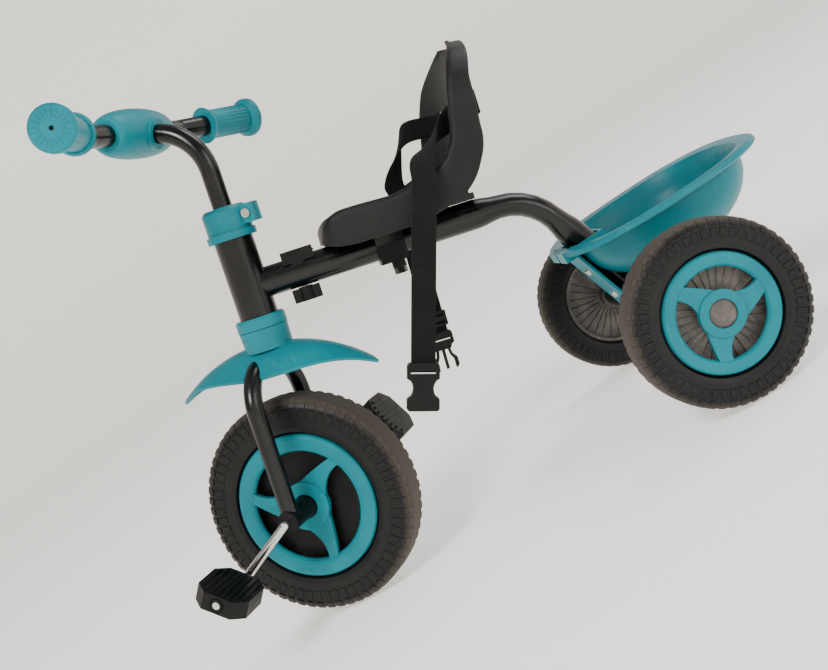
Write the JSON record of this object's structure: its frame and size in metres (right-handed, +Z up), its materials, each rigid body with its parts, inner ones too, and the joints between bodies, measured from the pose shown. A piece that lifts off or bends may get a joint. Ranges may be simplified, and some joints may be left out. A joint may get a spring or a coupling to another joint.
{
  "type": "child's tricycle",
  "caption": "Child's pedal tricycle with a bent main tube, moulded harness seat, handlebar with grips, mudguard and rear bucket.",
  "frame": {"origin": "on the floor under the middle of the bounding box", "axes": "+X towards the rear, +Y to the right of the rider, +Z up; the tricycle stands on its three wheels with the front towards -X"},
  "size_m": [0.7875, 0.4238, 0.6139],
  "materials": {
    "black_paint": "gloss",
    "teal_plastic": "satin",
    "black_plastic": "satin",
    "seat_plastic": "fine grain",
    "nylon": "matte",
    "wheel_grey": "dusty",
    "tyre": "worn",
    "webbing": "woven",
    "bright_steel": "polished",
    "zinc_steel": "satin"
  },
  "bodies": {
    "frame": {"main_tube": "black_paint", "head_tube": "black_paint", "upper_bearing": "nylon", "lower_bearing": "nylon", "lower_collar": "teal_plastic", "axle_tube": "black_paint", "rear_axle": "zinc_steel", "axle_spacers": "black_plastic", "bucket": "teal_plastic", "bucket_screws": "zinc_steel", "seat_clip": "black_plastic", "anchor_bolt": "zinc_steel", "push_nut_left": "zinc_steel", "push_nut_right": "zinc_steel"},
    "seat": {"seat_shell": "seat_plastic", "seat_bracket": "black_paint", "seat_clamp": "black_plastic", "clamp_bolt": "zinc_steel", "seat_screws": "zinc_steel", "harness_back": "webbing"},
    "knob": {"anchor_knob": "black_plastic"},
    "left_strap": {"strap_left": "webbing", "buckle_socket": "black_plastic"},
    "right_strap": {"strap_right": "webbing", "buckle_plug": "black_plastic", "strap_adjuster": "black_plastic"},
    "steering": {"steerer": "black_paint", "stem": "black_paint", "top_collar": "teal_plastic", "collar_bolt": "zinc_steel", "crossbar": "black_paint", "bar_cover": "teal_plastic", "grip_left": "teal_plastic", "grip_right": "teal_plastic", "mudguard": "teal_plastic", "fork_crown": "black_paint", "fork_leg_left": "black_paint", "fork_leg_right": "black_paint", "fork_bushings": "nylon"},
    "front_wheel": {"front_tyre": "tyre", "front_disc": "wheel_grey", "front_cover_left": "teal_plastic", "front_cover_right": "teal_plastic", "crank": "bright_steel", "hub_sleeves": "wheel_grey", "pedal_caps": "zinc_steel"},
    "left_pedal": {"pedal_left": "black_plastic"},
    "right_pedal": {"pedal_right": "black_plastic"},
    "rear_wheel_left": {"rear_tyre_left": "tyre", "rear_disc_left": "wheel_grey", "rear_cover_left": "teal_plastic", "hub_cap_left": "wheel_grey"},
    "rear_wheel_right": {"rear_tyre_right": "tyre", "rear_disc_right": "wheel_grey", "rear_cover_right": "teal_plastic", "hub_cap_right": "wheel_grey"}
  },
  "joints": [
    {"name": "steering_turn", "type": "hinge", "parent": "frame", "child": "steering", "pos_m": [-0.23535, 0, 0.12236], "axis": [0.2639, 0, 0.9646], "range_deg": [-15, 65]},
    {"name": "front_wheel_spin", "type": "hinge", "parent": "steering", "child": "front_wheel", "pos_m": [-0.2441, 0.00423, 0.12475], "axis": [0.4076, 0.9063, -0.1115], "continuous": true},
    {"name": "left_pedal_spin", "type": "hinge", "parent": "front_wheel", "child": "left_pedal", "pos_m": [-0.36327, -0.07774, 0.10799], "axis": [0.4076, 0.9063, -0.1115], "continuous": true},
    {"name": "right_pedal_spin", "type": "hinge", "parent": "front_wheel", "child": "right_pedal", "pos_m": [-0.12492, 0.08619, 0.14151], "axis": [0.4076, 0.9063, -0.1115], "continuous": true},
    {"name": "rear_left_spin", "type": "hinge", "parent": "frame", "child": "rear_wheel_left", "pos_m": [0.209, -0.187, 0.095], "axis": [0, 1, 0], "continuous": true},
    {"name": "rear_right_spin", "type": "hinge", "parent": "frame", "child": "rear_wheel_right", "pos_m": [0.209, 0.187, 0.095], "axis": [0, 1, 0], "continuous": true},
    {"name": "seat_slide", "type": "slide", "parent": "frame", "child": "seat", "axis": [0.9641, 0, -0.2656], "range_m": [-0.01, 0.015]},
    {"name": "knob_turn", "type": "hinge", "parent": "frame", "child": "knob", "pos_m": [-0.11994, 0, 0.32084], "axis": [0.2656, 0, 0.9641], "continuous": true},
    {"name": "left_strap_swing", "type": "hinge", "parent": "seat", "child": "left_strap", "pos_m": [0.04109, -0.1402, 0.35946], "axis": [0, 1, 0], "range_deg": [-55, 12]},
    {"name": "right_strap_swing", "type": "hinge", "parent": "seat", "child": "right_strap", "pos_m": [0.04109, 0.1402, 0.35946], "axis": [0, 1, 0], "range_deg": [-55, 12]}
  ]
}
